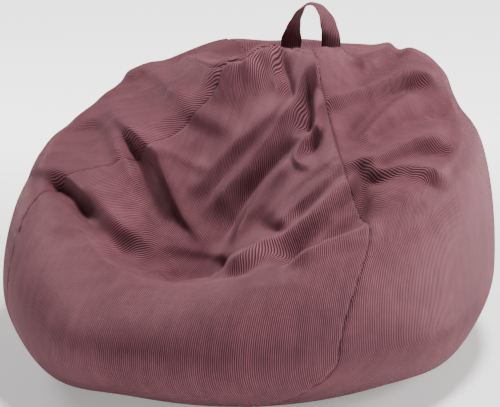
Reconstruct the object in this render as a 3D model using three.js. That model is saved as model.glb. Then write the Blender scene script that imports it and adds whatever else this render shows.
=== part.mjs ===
// Bean bag chair: four corduroy side panels, a base panel and a top cap sewn round a zipped
// liner bag full of foam beads, with a strap handle at the top and a zip in the rear-left seam.
// Millimetres, +Z up. The chair faces -Y and stands on Z = 0, centred on X = Y = 0.
import * as THREE from 'three';

// ---- Outer form --------------------------------------------------------------------------
const FLOOR_R = 250;                          // flat patch the bag stands on
const BULGE = { side: 425, front: 472, back: 472, zFront: 130, zBack: 165 };   // widest line
const RIM = { side: 352, front: 330, back: 343, zFront: 213, zBack: 488, power: 0.73 };
const CAP = { x: 20, y: 190, z: 487, r: 55 };                   // round cap where the panels meet
const SEAT = { x: -10, y: -122, rx: 220, ry: 210, depth: 120 };          // hollow of the seat
const FRONT_SEAM = [18, 44, 54];              // degrees either side of the front: low, bulge, rim
const REAR_SEAM = [45, 45, 30];               // degrees either side of the back

// ---- Cloth and layers --------------------------------------------------------------------
const COVER_T = 2.5;                          // padded corduroy
const LINER_DEPTH = 8.2;                      // liner's outer face below the cover's outer face
const LINER_T = 1.0;
const FILL_DEPTH = 14.5;
const SEAM_GAP = 0.25;                        // each panel stops this far from its seam line

// ---- Zips --------------------------------------------------------------------------------
const ZIP = { azimuth: 44.5, r0: 92, z0: 240, radius: 356, from: 1.65, to: 2.6, steps: 12 };
const COVER_ZIP = { slot: 4, top: 0, tape: [-2.9, -3.5, 3.2, 14], coil: [-3.5, -0.9, 0.6, 2.9] };
const LINER_ZIP = { slot: 3.5, top: -LINER_DEPTH, tape: [-9.6, -10.2, 2.9, 11],
  coil: [-10.2, -8, 0.6, 2.6] };              // heights low and high, then near and far edge
const STOP_LENGTH = 4;
const SLIDER = { length: 20, width: 11, web: 0.6 };
const COVER_SLIDER = [0.5, 1.7, -4.4, -5.4];  // top plate low and high, bottom plate high and low
const LINER_SLIDER = [-7.4, -6.5, -11.5, -12.3];
const BRIDGE = { height: 4.2, half: 2.4, bar: 1.2 };          // bar's height, inner half width
const PULL = { length: 27, width: 4, thick: 1.2, eye: 1.9, hole: 1.1 };

// ---- Handle and label --------------------------------------------------------------------
const HANDLE = { x: 15, y: 240, turn: 12, halfSpan: 38, height: 84, width: 37, thick: 4, lift: 2.6,
  twistRight: 25, twistLeft: 45, steps: 28 };
const LABEL = { row: 4, reach: 40, clear: 0.5, thick: 0.8 };

const COLUMNS = 6;                            // facets across one panel
const LOW_ROWS = [1.002, 1.3, 1.52];
const HIGH_ROWS = [2.72, 2.86, 3, 3.16, 3.32, 3.48, 3.64, 3.8, 3.92, 3.999];
const CAP_ROWS = [4.004, 5];

const ZIP_ROWS = [];
for (let i = 0; i <= ZIP.steps; i++) {
  ZIP_ROWS.push(ZIP.from + (ZIP.to - ZIP.from) * i / ZIP.steps);
}
const WALL_ROWS = [...LOW_ROWS, ...ZIP_ROWS, ...HIGH_ROWS];

const smooth = (t) => { const c = Math.min(Math.max(t, 0), 1); return c * c * (3 - 2 * c); };
const mix = (a, b, t) => a + (b - a) * t;
const rad = THREE.MathUtils.degToRad;
const vec = (x, y, z) => new THREE.Vector3(x, y, z);

// Angle of the seams: 0 is the front-left one, 1 front-right, 2 rear-right, 3 rear-left.
function seamAngles(v) {
  const rise = smooth((v - 2.62) / 0.38);
  const front = v < 2 ? mix(FRONT_SEAM[0], FRONT_SEAM[1], smooth(v - 1))
    : mix(FRONT_SEAM[1], FRONT_SEAM[2], smooth(v - 2));
  const rear = mix(REAR_SEAM[0], REAR_SEAM[2], rise);
  return [-front, front, 180 - rear, 180 + rear, 360 - front];
}

function angleAt(u, v) {
  const turn = Math.floor(u / 4);
  const local = u - 4 * turn;
  const i = Math.min(Math.floor(local), 3);
  const seams = seamAngles(v);
  return rad(mix(seams[i], seams[i + 1], local - i) + 360 * turn);
}

// Outer face of the bag. v runs 0..1 over the underside, 1..2 up to the bulge, 2..3 up to the
// rim, 3..4 in over the seat and backrest, 4..5 over the cap.
function plainSurface(u, v) {
  const angle = angleAt(u, v);
  const s = Math.sin(angle);
  const c = Math.cos(angle);
  const back = (1 - c) / 2;
  const out = vec(BULGE.side * s, -(c > 0 ? BULGE.front : BULGE.back) * c, 0);
  const foot = vec(FLOOR_R * s, -FLOOR_R * c, 0);
  const rim = vec(RIM.side * s, (RIM.back - RIM.front) / 2 - (RIM.back + RIM.front) / 2 * c, 0);
  const zBulge = mix(BULGE.zFront, BULGE.zBack, back);
  const zRim = mix(RIM.zFront, RIM.zBack, back ** RIM.power);
  if (v < 1) return foot.multiplyScalar(v);
  if (v < 2) {
    const a = (v - 1) * Math.PI / 2;
    return foot.lerp(out, Math.sin(a)).setZ(zBulge * (1 - Math.cos(a)));
  }
  if (v < 3) {
    const a = (v - 2) * Math.PI / 2;
    return rim.lerp(out, Math.cos(a)).setZ(mix(zBulge, zRim, Math.sin(a)));
  }
  const far = Math.hypot(rim.x - CAP.x, rim.y - CAP.y);
  const edge = 1 - CAP.r / far;
  const t = v < 4 ? (v - 3) * edge : edge + (v - 4) * (1 - edge);
  const p = rim.lerp(vec(CAP.x, CAP.y, 0), t);
  const g = ((p.x - SEAT.x) / SEAT.rx) ** 2 + ((p.y - SEAT.y) / SEAT.ry) ** 2;
  return p.setZ(mix(zRim, CAP.z, smooth(t)) - SEAT.depth * (g < 1 ? (1 - g) ** 2 : 0));
}

// The rear-left seam follows a true arc where the zip is, so that the sliders can run on it.
const zipOut = vec(-Math.sin(rad(ZIP.azimuth)), Math.cos(rad(ZIP.azimuth)), 0);
const zipSide = vec(-zipOut.y, zipOut.x, 0);  // towards the left panel
const zipStart = Math.asin((plainSurface(3, ZIP.from).z - ZIP.z0) / ZIP.radius);
const zipEnd = Math.asin((plainSurface(3, ZIP.to).z - ZIP.z0) / ZIP.radius);
const zipAngle = (v) => mix(zipStart, zipEnd, (v - ZIP.from) / (ZIP.to - ZIP.from));
const zipNormal = (angle) => zipOut.clone().multiplyScalar(Math.cos(angle))
  .setZ(Math.sin(angle));

function zipPoint(angle, height, side) {
  return zipNormal(angle).multiplyScalar(ZIP.radius + height)
    .addScaledVector(zipOut, ZIP.r0).add(vec(0, 0, ZIP.z0)).addScaledVector(zipSide, side);
}

function surface(u, v) {
  const p = plainSurface(u, v);
  const across = smooth(1 - Math.abs(u - 3) / 0.6);
  const along = smooth((v - ZIP.from + 0.35) / 0.35) * smooth((ZIP.to + 0.3 - v) / 0.3);
  if (across * along === 0) return p;
  const shift = zipPoint(zipAngle(v), 0, 0).sub(plainSurface(3, v));
  return p.addScaledVector(shift, across * along);
}

function normal(u, v) {
  if (v < 1.01) return vec(0, 0, -1);
  if (v > 4.5) return vec(0, 0, 1);
  const e = 1e-3;
  const across = surface(u + e, v).sub(surface(u - e, v));
  const up = surface(u, v + e).sub(surface(u, v - e));
  return across.cross(up).normalize();
}

const isZipRow = (v) => v >= ZIP.from - 1e-9 && v <= ZIP.to + 1e-9;

// A point at some depth under the outer face. side is -1 or 1 on an edge that stops short of a
// seam on that side of it, and slot is half the gap left for a zip.
function layerPoint(u, v, depth, side = 0, slot = SEAM_GAP) {
  const zipped = u === 3 && isZipRow(v);
  if (zipped) return zipPoint(zipAngle(v), -depth, side * slot);
  const p = surface(u, v).addScaledVector(normal(u, v), -depth);
  if (side === 0 || v > 4.9) return p;
  const across = surface(u + 1e-3, v).sub(surface(u - 1e-3, v)).normalize();
  return p.addScaledVector(across, side * SEAM_GAP);
}

// ---- Mesh building -----------------------------------------------------------------------
// Turns triangles given as points into one indexed body, dropping those that have collapsed.
class Body {
  constructor() {
    this.points = [];
    this.faces = [];
    this.known = new Map();
  }

  index(p) {
    const key = [p.x, p.y, p.z].map((n) => Math.round(n * 1e4)).join();
    if (!this.known.has(key)) {
      this.known.set(key, this.known.size);
      this.points.push(p.x, p.y, p.z);
    }
    return this.known.get(key);
  }

  triangle(...corners) {
    const [a, b, c] = corners.map((p) => this.index(p));
    if (a !== b && b !== c && a !== c) this.faces.push(a, b, c);
  }

  quad(a, b, c, d) {
    this.triangle(a, b, c);
    this.triangle(a, c, d);
  }

  geometry() {
    const g = new THREE.BufferGeometry();
    g.setAttribute('position', new THREE.Float32BufferAttribute(this.points, 3));
    g.setIndex(this.faces);
    g.computeVertexNormals();
    return g;
  }
}

// A thin shell over a block of the grid, from seam uFrom to seam uTo.
function shell({ uFrom, uTo, rows, depth, thick, slot, open = true }) {
  const body = new Body();
  const count = Math.round((uTo - uFrom) * COLUMNS);
  const at = (i, j, d) => {
    const side = !open ? 0 : (j === 0 ? 1 : 0) - (j === count ? 1 : 0);
    const u = j === count && !open ? uFrom : uFrom + j / COLUMNS;
    return layerPoint(u, rows[i], d, side, slot);
  };
  const last = rows.length - 1;
  for (let i = 0; i < last; i++) {
    for (let j = 0; j < count; j++) {
      const [a, b, c, d] = [at(i, j, depth), at(i, j + 1, depth),
        at(i + 1, j + 1, depth), at(i + 1, j, depth)];
      const under = depth + thick;
      const [e, f, g, h] = [at(i, j, under), at(i, j + 1, under),
        at(i + 1, j + 1, under), at(i + 1, j, under)];
      body.quad(a, b, c, d);
      body.quad(e, h, g, f);
      if (i === 0) body.quad(e, f, b, a);
      if (i === last - 1) body.quad(d, c, g, h);
      if (open && j === 0) body.quad(a, d, h, e);
      if (open && j === count - 1) body.quad(b, f, g, c);
    }
  }
  return body.geometry();
}

// The filling: one closed surface right round.
function filling() {
  const body = new Body();
  const rows = [0, 1, ...WALL_ROWS.slice(1, -1), 4, 5];
  const count = 4 * COLUMNS;
  const at = (i, j) => layerPoint((j % count) / COLUMNS, rows[i], FILL_DEPTH);
  for (let i = 0; i < rows.length - 1; i++) {
    for (let j = 0; j < count; j++) body.quad(at(i, j), at(i, j + 1), at(i + 1, j + 1), at(i + 1, j));
  }
  return body.geometry();
}

// A bar with a four-cornered section, swept through a list of stations. Each station gives the
// corners in the same turning order, seen looking back along the sweep.
function sweep(stations) {
  const body = new Body();
  const last = stations.length - 1;
  for (let i = 0; i < last; i++) {
    for (let k = 0; k < 4; k++) {
      const n = (k + 1) % 4;
      body.quad(stations[i][k], stations[i][n], stations[i + 1][n], stations[i + 1][k]);
    }
  }
  const [s, e] = [stations[0], stations[last]];
  body.quad(s[3], s[2], s[1], s[0]);
  body.quad(e[0], e[1], e[2], e[3]);
  return body.geometry();
}

// ---- Zips --------------------------------------------------------------------------------
const stopAngle = STOP_LENGTH / ZIP.radius;
const stopGap = 0.3 / ZIP.radius;

// A bar that follows the zip's arc between two angles, from one distance off its middle to
// another.
function zipBar(from, to, [low, high], left, right) {
  const between = ZIP_ROWS.map(zipAngle).filter((a) => a > from + 1e-3 && a < to - 1e-3);
  return sweep([from, ...between, to].map((a) => [zipPoint(a, low, left),
    zipPoint(a, high, left), zipPoint(a, high, right), zipPoint(a, low, right)]));
}

function zipCoil([low, high, near, far], side) {
  const [left, right] = side < 0 ? [-far, -near] : [near, far];
  return zipBar(zipStart + stopAngle + 2 * stopGap, zipEnd - stopAngle - 2 * stopGap,
    [low, high], left, right);
}

// A tape lies under its panel, so its far edge follows the panel's facets.
function zipTape(zip, side) {
  const [high, low, near, far] = zip.tape;
  return sweep(ZIP_ROWS.map((v) => {
    const a = zipAngle(v);
    const edge = layerPoint(3, v, -zip.top, side, zip.slot);
    const next = layerPoint(3 + side / COLUMNS, v, -zip.top);
    const out = zipNormal(a);
    const top = edge.clone().lerp(next, (far - zip.slot) / edge.distanceTo(next))
      .addScaledVector(out, high - zip.top - 0.4);
    const under = top.clone().addScaledVector(out, low - high);
    const nearTop = zipPoint(a, high, side * near);
    const nearUnder = zipPoint(a, low, side * near);
    return side < 0 ? [under, top, nearTop, nearUnder] : [nearUnder, nearTop, top, under];
  }));
}

// Frame of a slider: x across the zip, y along it towards its upper end, z out of the chair.
const sliderAngle = zipEnd - (STOP_LENGTH + 1.2 + SLIDER.length / 2) / ZIP.radius;
const sliderFrame = new THREE.Matrix4().makeBasis(zipSide,
  zipNormal(sliderAngle).cross(zipSide), zipNormal(sliderAngle))
  .setPosition(zipPoint(sliderAngle, 0, 0));

function extrude(outline, depth, holes = []) {
  const shape = new THREE.Shape(outline.map(([x, y]) => new THREE.Vector2(x, y)));
  shape.holes = holes;
  return new THREE.ExtrudeGeometry(shape, { depth, bevelEnabled: false, curveSegments: 10 })
    .translate(0, 0, -depth / 2);
}

// The two plates and the wedge between them are one I section, pushed along the zip.
function sliderBody([topLow, topHigh, bottomHigh, bottomLow]) {
  const w = SLIDER.width / 2;
  const h = SLIDER.web / 2;
  return extrude([[-w, bottomLow], [w, bottomLow], [w, bottomHigh], [h, bottomHigh],
    [h, topLow], [w, topLow], [w, topHigh], [-w, topHigh], [-w, topLow], [-h, topLow],
    [-h, bottomHigh], [-w, bottomHigh]], SLIDER.length)
    .rotateX(Math.PI / 2).applyMatrix4(sliderFrame);
}

// The bridge stands on the slider and carries the pull's eye on its bar.
function sliderBridge() {
  const [low, high] = [COVER_SLIDER[1] + 0.1, BRIDGE.height + BRIDGE.bar / 2];
  const [inner, outer, under] = [BRIDGE.half, BRIDGE.half + BRIDGE.bar, high - BRIDGE.bar];
  return extrude([[-outer, low], [-inner, low], [-inner, under], [inner, under], [inner, low],
    [outer, low], [outer, high], [-outer, high]], BRIDGE.bar)
    .rotateX(Math.PI / 2).applyMatrix4(sliderFrame);
}

function zipPull() {
  const start = Math.asin(PULL.thick / 2 / PULL.eye);
  const outline = [];
  for (let i = 0; i <= 16; i++) {
    const a = -Math.PI + start + (2 * Math.PI - 2 * start) * i / 16;
    outline.push([PULL.eye * Math.cos(a), PULL.eye * Math.sin(a)]);
  }
  outline.push([-PULL.length, PULL.thick / 2], [-PULL.length, -PULL.thick / 2]);
  const hole = new THREE.Path().absarc(0, 0, PULL.hole, 0, 2 * Math.PI, true);
  return extrude(outline, PULL.width, [hole])
    .applyMatrix4(new THREE.Matrix4().makeBasis(vec(0, 1, 0), vec(0, 0, 1), vec(1, 0, 0)))
    .translate(0, 0, BRIDGE.height).applyMatrix4(sliderFrame);
}

// ---- Handle and label --------------------------------------------------------------------
// One strap, sewn flat into the cap's rear seam at both ends, and turning as it goes over.
function handleLoop() {
  const across = vec(Math.cos(rad(HANDLE.turn)), Math.sin(rad(HANDLE.turn)), 0);
  const depth = vec(-across.y, across.x, 0);
  const foot = vec(HANDLE.x, HANDLE.y, RIM.zBack + HANDLE.lift);
  const stations = [];
  for (let i = 0; i <= HANDLE.steps; i++) {
    const t = Math.PI * i / HANDLE.steps;
    const rising = t < Math.PI / 2;
    const turn = smooth(rising ? 2 * t / Math.PI : 2 - 2 * t / Math.PI);
    const stay = smooth(rising ? t / 0.5 : (Math.PI - t) / 0.5);
    const twist = rad(mix(0, mix(rising ? HANDLE.twistRight : HANDLE.twistLeft, 90, turn), stay));
    const centre = foot.clone().addScaledVector(across, HANDLE.halfSpan * Math.cos(t))
      .setZ(foot.z + HANDLE.height * Math.sin(t));
    const along = across.clone().multiplyScalar(-HANDLE.halfSpan * Math.sin(t))
      .setZ(HANDLE.height * Math.cos(t)).normalize();
    const side = across.clone().multiplyScalar(Math.cos(twist))
      .addScaledVector(depth, Math.sin(twist));
    side.addScaledVector(along, -side.dot(along)).normalize().multiplyScalar(HANDLE.width / 2);
    const face = along.clone().cross(side).normalize().multiplyScalar(HANDLE.thick / 2);
    stations.push([[-1, -1], [1, -1], [1, 1], [-1, 1]].map(([a, b]) => centre.clone()
      .addScaledVector(side, a).addScaledVector(face, b)));
  }
  return sweep(stations);
}

// A blank label sewn into the rear-right seam, lying on the right panel.
function careLabel() {
  return sweep([WALL_ROWS[LABEL.row], WALL_ROWS[LABEL.row + 1]].map((v) => {
    const edge = layerPoint(2, v, 0, -1);
    const next = layerPoint(2 - 1 / COLUMNS, v, 0);
    const out = normal(2, v);
    const far = edge.clone().lerp(next, LABEL.reach / edge.distanceTo(next));
    const at = (p, height) => p.clone().addScaledVector(out, height);
    const [low, high] = [LABEL.clear, LABEL.clear + LABEL.thick];
    return [at(far, low), at(far, high), at(edge, high), at(edge, low)];
  }));
}

// ---- The chair ---------------------------------------------------------------------------
const CORDUROY = { color: 0x96696f, roughness: 0.95, metalness: 0 };
const TAPE = { color: 0x7d5258, roughness: 0.9, metalness: 0 };
const COIL = { color: 0x6f484e, roughness: 0.45, metalness: 0 };
const METAL = { color: 0xa9a9ad, roughness: 0.35, metalness: 1 };
const LINER = { color: 0xe9e6e0, roughness: 0.9, metalness: 0 };
const LINER_TAPE = { color: 0xdedbd4, roughness: 0.85, metalness: 0 };
const LABEL_CLOTH = { color: 0xf2f0ec, roughness: 0.8, metalness: 0 };
const BEADS = { color: 0xfafaf8, roughness: 0.7, metalness: 0 };

const chair = new THREE.Group();
chair.name = 'bean_bag_chair';

function add(name, geometry, look) {
  const mesh = new THREE.Mesh(geometry, new THREE.MeshStandardMaterial(look));
  mesh.name = name;
  chair.add(mesh);
}

function coverPanel(uFrom) {
  return shell({ uFrom, uTo: uFrom + 1, rows: WALL_ROWS, depth: 0, thick: COVER_T,
    slot: COVER_ZIP.slot });
}

function disc(rows, depth, thick) {
  return shell({ uFrom: 0, uTo: 4, rows, depth, thick, open: false });
}

function linerHalf(uFrom) {
  return shell({ uFrom, uTo: uFrom + 2, rows: [...WALL_ROWS, 5], depth: LINER_DEPTH,
    thick: LINER_T, slot: LINER_ZIP.slot });
}

add('front_panel', coverPanel(0), CORDUROY);
add('right_panel', coverPanel(1), CORDUROY);
add('rear_panel', coverPanel(2), CORDUROY);
add('left_panel', coverPanel(3), CORDUROY);
add('base_panel', disc([0, 0.999], 0, COVER_T), CORDUROY);
add('top_cap', disc(CAP_ROWS, 0, COVER_T), CORDUROY);
add('handle_loop', handleLoop(), CORDUROY);
add('care_label', careLabel(), LABEL_CLOTH);

add('zip_tape_left', zipTape(COVER_ZIP, 1), TAPE);
add('zip_tape_right', zipTape(COVER_ZIP, -1), TAPE);
add('zip_coil_left', zipCoil(COVER_ZIP.coil, 1), COIL);
add('zip_coil_right', zipCoil(COVER_ZIP.coil, -1), COIL);
const [coilLow, coilHigh, coilNear, coilFar] = COVER_ZIP.coil;
const stopHeights = [coilLow, coilHigh + 0.4];
const [topFrom, topTo] = [zipEnd - stopAngle, zipEnd - stopGap];
add('zip_top_stop_left', zipBar(topFrom, topTo, stopHeights, coilNear, coilFar), METAL);
add('zip_top_stop_right', zipBar(topFrom, topTo, stopHeights, -coilFar, -coilNear), METAL);
add('zip_bottom_stop', zipBar(zipStart + stopGap, zipStart + stopAngle, stopHeights,
  -coilFar, coilFar), METAL);
add('zip_slider', sliderBody(COVER_SLIDER), METAL);
add('zip_bridge', sliderBridge(), METAL);
add('zip_pull', zipPull(), METAL);

add('liner_left_half', linerHalf(3), LINER);
add('liner_right_half', linerHalf(1), LINER);
add('liner_base', disc([0, 0.999], LINER_DEPTH, LINER_T), LINER);
add('liner_zip_tape_left', zipTape(LINER_ZIP, 1), LINER_TAPE);
add('liner_zip_tape_right', zipTape(LINER_ZIP, -1), LINER_TAPE);
add('liner_zip_coil_left', zipCoil(LINER_ZIP.coil, 1), LINER_TAPE);
add('liner_zip_coil_right', zipCoil(LINER_ZIP.coil, -1), LINER_TAPE);
add('liner_zip_slider', sliderBody(LINER_SLIDER), METAL);
add('bead_filling', filling(), BEADS);

export default chair;
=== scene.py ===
import math

import bmesh
import bpy
import numpy as np
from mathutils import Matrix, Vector


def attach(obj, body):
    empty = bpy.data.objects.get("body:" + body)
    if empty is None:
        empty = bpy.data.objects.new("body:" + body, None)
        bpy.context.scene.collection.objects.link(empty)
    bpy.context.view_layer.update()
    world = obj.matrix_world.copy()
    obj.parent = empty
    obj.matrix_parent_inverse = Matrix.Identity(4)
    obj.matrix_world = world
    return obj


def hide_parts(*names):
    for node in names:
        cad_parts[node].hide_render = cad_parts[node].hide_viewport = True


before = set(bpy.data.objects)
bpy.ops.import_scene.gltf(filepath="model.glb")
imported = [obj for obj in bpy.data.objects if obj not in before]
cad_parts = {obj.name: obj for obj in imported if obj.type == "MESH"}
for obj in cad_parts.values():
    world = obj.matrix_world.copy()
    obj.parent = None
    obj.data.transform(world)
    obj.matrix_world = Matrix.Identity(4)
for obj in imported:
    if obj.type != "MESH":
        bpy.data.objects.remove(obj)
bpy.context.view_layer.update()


# Studio -------------------------------------------------------------------------------------
# A white floor that runs out of sight and glows, dimly near the chair as a painted shadow and
# brightly further out as painted light that reaches the chair's sides, a camera a little above the
# seat and to the chair's right of
# front, and soft boxes: a strong one overhead and a little to the right, and a weaker one on each
# side.
EYE_TURN, EYE_RISE, EYE_DISTANCE = math.radians(23.8), math.radians(15.6), 2.7
TO_EYE = Vector((math.sin(EYE_TURN) * math.cos(EYE_RISE),
                 -math.cos(EYE_TURN) * math.cos(EYE_RISE), math.sin(EYE_RISE)))
ACROSS = Vector((math.cos(EYE_TURN), math.sin(EYE_TURN), 0))
UPWARD = TO_EYE.cross(ACROSS)
AIM = Vector((0, 0, 0.26)) - 0.003 * ACROSS - 0.008 * UPWARD
EYE = AIM + EYE_DISTANCE * TO_EYE


def look_from(thing, place, target):
    thing.location = place
    thing.rotation_euler = (Vector(target) - Vector(place)).to_track_quat("-Z", "Y").to_euler()


def soft_box(name, place, target, size, power, tint=(1, 1, 1)):
    data = bpy.data.lights.new(name, "AREA")
    data.shape, data.size, data.energy, data.color = "DISK", size, power, tint
    lamp = bpy.data.objects.new(name, data)
    bpy.context.collection.objects.link(lamp)
    look_from(lamp, place, target)


camera = bpy.data.objects.new("camera", bpy.data.cameras.new("camera"))
camera.data.lens = 110.1
look_from(camera, EYE, AIM)
bpy.context.collection.objects.link(camera)
bpy.context.scene.camera = camera

soft_box("key", (0.55, 0.1, 2.6), (0, 0, 0.2), 0.6, 116, (1, 0.985, 0.97))
soft_box("right", (2.7, 1.0, 1.3), (0.1, 0, 0.3), 1.2, 74, (1, 0.98, 0.97))
soft_box("left", (-2.6, 0.8, 1.6), (0, 0, 0.3), 1.2, 42, (1, 0.99, 0.98))

world = bpy.data.worlds.new("studio")
world.use_nodes = True
world.node_tree.nodes["Background"].inputs["Color"].default_value = (1, 1, 1, 1)
world.node_tree.nodes["Background"].inputs["Strength"].default_value = 0.13
bpy.context.scene.world = world


class Wire:
    """A shader socket that can stand in a sum. Each operator adds the Math node it needs."""

    def __init__(self, tree, socket):
        self.tree, self.socket = tree, socket

    def maths(self, operation, first, second):
        node = self.tree.nodes.new("ShaderNodeMath")
        node.operation = operation
        for value, end in zip((first, second), node.inputs):
            join(self.tree, value, end)
        return Wire(self.tree, node.outputs[0])

    def __add__(self, other): return self.maths("ADD", self, other)
    def __radd__(self, other): return self.maths("ADD", other, self)
    def __sub__(self, other): return self.maths("SUBTRACT", self, other)
    def __rsub__(self, other): return self.maths("SUBTRACT", other, self)
    def __mul__(self, other): return self.maths("MULTIPLY", self, other)
    def __rmul__(self, other): return self.maths("MULTIPLY", other, self)
    def __pow__(self, other): return self.maths("POWER", self, other)


def join(tree, value, end):
    if isinstance(value, Wire):
        tree.links.new(value.socket, end)
    elif isinstance(value, (tuple, list)) and end.type == "RGBA" and len(value) == 3:
        end.default_value = (*value, 1)
    else:
        end.default_value = value


class Finish:
    """One material: a Principled surface whose sockets take numbers or wires."""

    def __init__(self, name, **surface):
        self.material = bpy.data.materials.new(name)
        self.material.use_nodes = True
        self.tree = self.material.node_tree
        self.shader = self.tree.nodes["Principled BSDF"]
        self.set(**surface)

    def set(self, **surface):
        for word, value in surface.items():
            socket = word.replace("_", " ").title().replace("Ior", "IOR")
            join(self.tree, value, self.shader.inputs[socket])

    def node(self, kind, settings=None, inputs=None, out=0):
        node = self.tree.nodes.new("ShaderNode" + kind)
        for word, value in (settings or {}).items():
            setattr(node, word, value)
        for word, value in (inputs or {}).items():
            join(self.tree, value, node.inputs[word])
        return Wire(self.tree, node.outputs[out])

    def noise(self, place, scale, detail=2.0, rough=0.5):
        return self.node("TexNoise", {}, {"Vector": place, "Scale": scale, "Detail": detail,
                                          "Roughness": rough}, "Fac")

    def curve(self, value, low, high, to_low=0.0, to_high=1.0):
        return self.node("MapRange", {"interpolation_type": "SMOOTHSTEP"},
                         {"Value": value, "From Min": low, "From Max": high,
                          "To Min": to_low, "To Max": to_high})

    def blend(self, amount, first, second):
        node = self.tree.nodes.new("ShaderNodeMix")
        node.data_type, node.clamp_factor = "RGBA", True
        for value, end in ((amount, node.inputs[0]), (first, node.inputs[6]),
                           (second, node.inputs[7])):
            join(self.tree, value, end)
        return Wire(self.tree, node.outputs[2])

    def bump(self, height, depth):
        return self.node("Bump", {}, {"Height": height, "Distance": depth, "Strength": 1.0})


# Painted light: the floor's emission is low near the chair, a painted shadow, and rises further out
# into a glow that lights the chair like a lamp.
floor_finish = Finish("floor_white", roughness=0.9, emission_strength=1.0)
floor_place = floor_finish.node("TexCoord", out="Object")
floor_grain = floor_finish.noise(floor_place, 0.6)
floor_glow_ramp = floor_finish.curve(floor_finish.node("VectorMath", {"operation": "LENGTH"},
                                                 {"Vector": floor_place}, "Value"), 0.45, 1.9)
floor_finish.set(
    base_color=floor_finish.blend(floor_grain, (0.93, 0.93, 0.93), (0.95, 0.95, 0.95)),
    emission_color=floor_finish.blend(floor_glow_ramp, (0.35, 0.35, 0.35), (2.6, 2.6, 2.6)))
FLOOR_REACH, FLOOR_DROP = 14, 0.001
floor_mesh = bpy.data.meshes.new("floor")
floor_mesh.from_pydata([(x * FLOOR_REACH, y * FLOOR_REACH, -FLOOR_DROP)
                        for x, y in ((-1, -1), (1, -1), (1, 1), (-1, 1))], [], [(0, 1, 2, 3)])
floor = bpy.data.objects.new("floor", floor_mesh)
floor_mesh.materials.append(floor_finish.material)
bpy.context.collection.objects.link(floor)


# Side panels --------------------------------------------------------------------------------
# Four gores of fine-wale corduroy on a thin padded backing, cut with the ribs running from the
# floor to the cap. They are sewn edge to edge with plain seams, so each edge turns in. The seat
# and back are slack, and fall in folds that run from the cap.
FLOOR_R = 0.250
BULGE_SIDE, BULGE_FRONT, BULGE_BACK, BULGE_Z = 0.425, 0.472, 0.472, (0.130, 0.165)
RIM_SIDE, RIM_FRONT, RIM_BACK, RIM_Z, RIM_POWER = 0.352, 0.330, 0.343, (0.213, 0.488), 0.73
CAP_AT, CAP_R = Vector((0.020, 0.190, 0.487)), 0.055
SEAT_AT, SEAT_RX, SEAT_RY, SEAT_DEPTH = (-0.010, -0.122), 0.220, 0.210, 0.120
ZIP_TURN, ZIP_OUT, ZIP_Z, ZIP_R = math.radians(44.5), 0.092, 0.240, 0.356
ZIP_FROM, ZIP_TO, ZIP_SLOT = 1.65, 2.60, 0.004
SEAM_GAP, COVER_T, GROOVE, GROOVE_W = 0.00025, 0.0026, 0.0019, 0.0032
EDGE_STEPS = np.array([0, 1.2, 2.4, 3.8, 5.6, 8.2, 12, 17]) / 1000
PANEL_COLUMNS = 140
# A fold's crest is round near its line and its flanks fall off faster further out. Ridges and
# creases are scaled up together. Each step moves the folds part of the way to their lines, as
# the cloth that they have moved so far lies; a crease follows its own sinking only in part.
FOLD_ROUND, FOLD_SHARP = 0.3, 1.4
RIDGE_HEIGHT, CREASE_DEPTH, CREASE_FOLLOW = 1.45, 1.35, 0.3
FOLD_STEPS, FOLD_SETTLE, SOFTEN = 4, 0.65, 1
LUMP_HEIGHT, FAN_HEIGHT, BRIDGE_STEPS = 0.002, 0.006, 4
CM = 0.01


def smooth(t):
    t = np.clip(t, 0, 1)
    return t * t * (3 - 2 * t)


def mix(a, b, t):
    return a + (b - a) * t


def angle_at(u, v):
    front = np.where(v < 2, mix(18, 44, smooth(v - 1)), mix(44, 54, smooth(v - 2)))
    rear = mix(45, 30, smooth((v - 2.62) / 0.38))
    turns = np.floor(u / 4)
    local = u - 4 * turns
    seams = [-front, front, 180 - rear, 180 + rear, 360 - front]
    which = np.clip(np.floor(local), 0, 3).astype(int)
    low = np.choose(which, seams[:4])
    high = np.choose(which, seams[1:])
    return np.radians(mix(low, high, local - which) + 360 * turns)


def plain_surface(u, v):
    """Outer face of the filled bag, as the frame has it: v 1 foot, 2 bulge, 3 rim, 4 cap."""
    u, v = np.broadcast_arrays(np.asarray(u, float), np.asarray(v, float))
    turn = angle_at(u, v)
    s, c = np.sin(turn), np.cos(turn)
    back = (1 - c) / 2
    foot_x, foot_y = FLOOR_R * s, -FLOOR_R * c
    out_x, out_y = BULGE_SIDE * s, -np.where(c > 0, BULGE_FRONT, BULGE_BACK) * c
    rim_x, rim_y = RIM_SIDE * s, (RIM_BACK - RIM_FRONT) / 2 - (RIM_BACK + RIM_FRONT) / 2 * c
    z_out = mix(*BULGE_Z, back)
    z_rim = mix(*RIM_Z, back ** RIM_POWER)
    low, high = (v - 1) * np.pi / 2, (v - 2) * np.pi / 2
    far = np.hypot(rim_x - CAP_AT.x, rim_y - CAP_AT.y)
    edge = 1 - CAP_R / far
    t = np.where(v < 4, (v - 3) * edge, edge + (v - 4) * (1 - edge))
    in_x, in_y = mix(rim_x, CAP_AT.x, t), mix(rim_y, CAP_AT.y, t)
    g = ((in_x - SEAT_AT[0]) / SEAT_RX) ** 2 + ((in_y - SEAT_AT[1]) / SEAT_RY) ** 2
    in_z = mix(z_rim, CAP_AT.z, smooth(t)) - SEAT_DEPTH * np.where(g < 1, (1 - g) ** 2, 0)
    parts = [v < 1, v < 2, v < 3]
    x = np.select(parts, [foot_x * v, mix(foot_x, out_x, np.sin(low)),
                          mix(rim_x, out_x, np.cos(high))], in_x)
    y = np.select(parts, [foot_y * v, mix(foot_y, out_y, np.sin(low)),
                          mix(rim_y, out_y, np.cos(high))], in_y)
    z = np.select(parts, [0 * v, z_out * (1 - np.cos(low)), mix(z_out, z_rim, np.sin(high))], in_z)
    return np.stack([x, y, z], -1)


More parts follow.
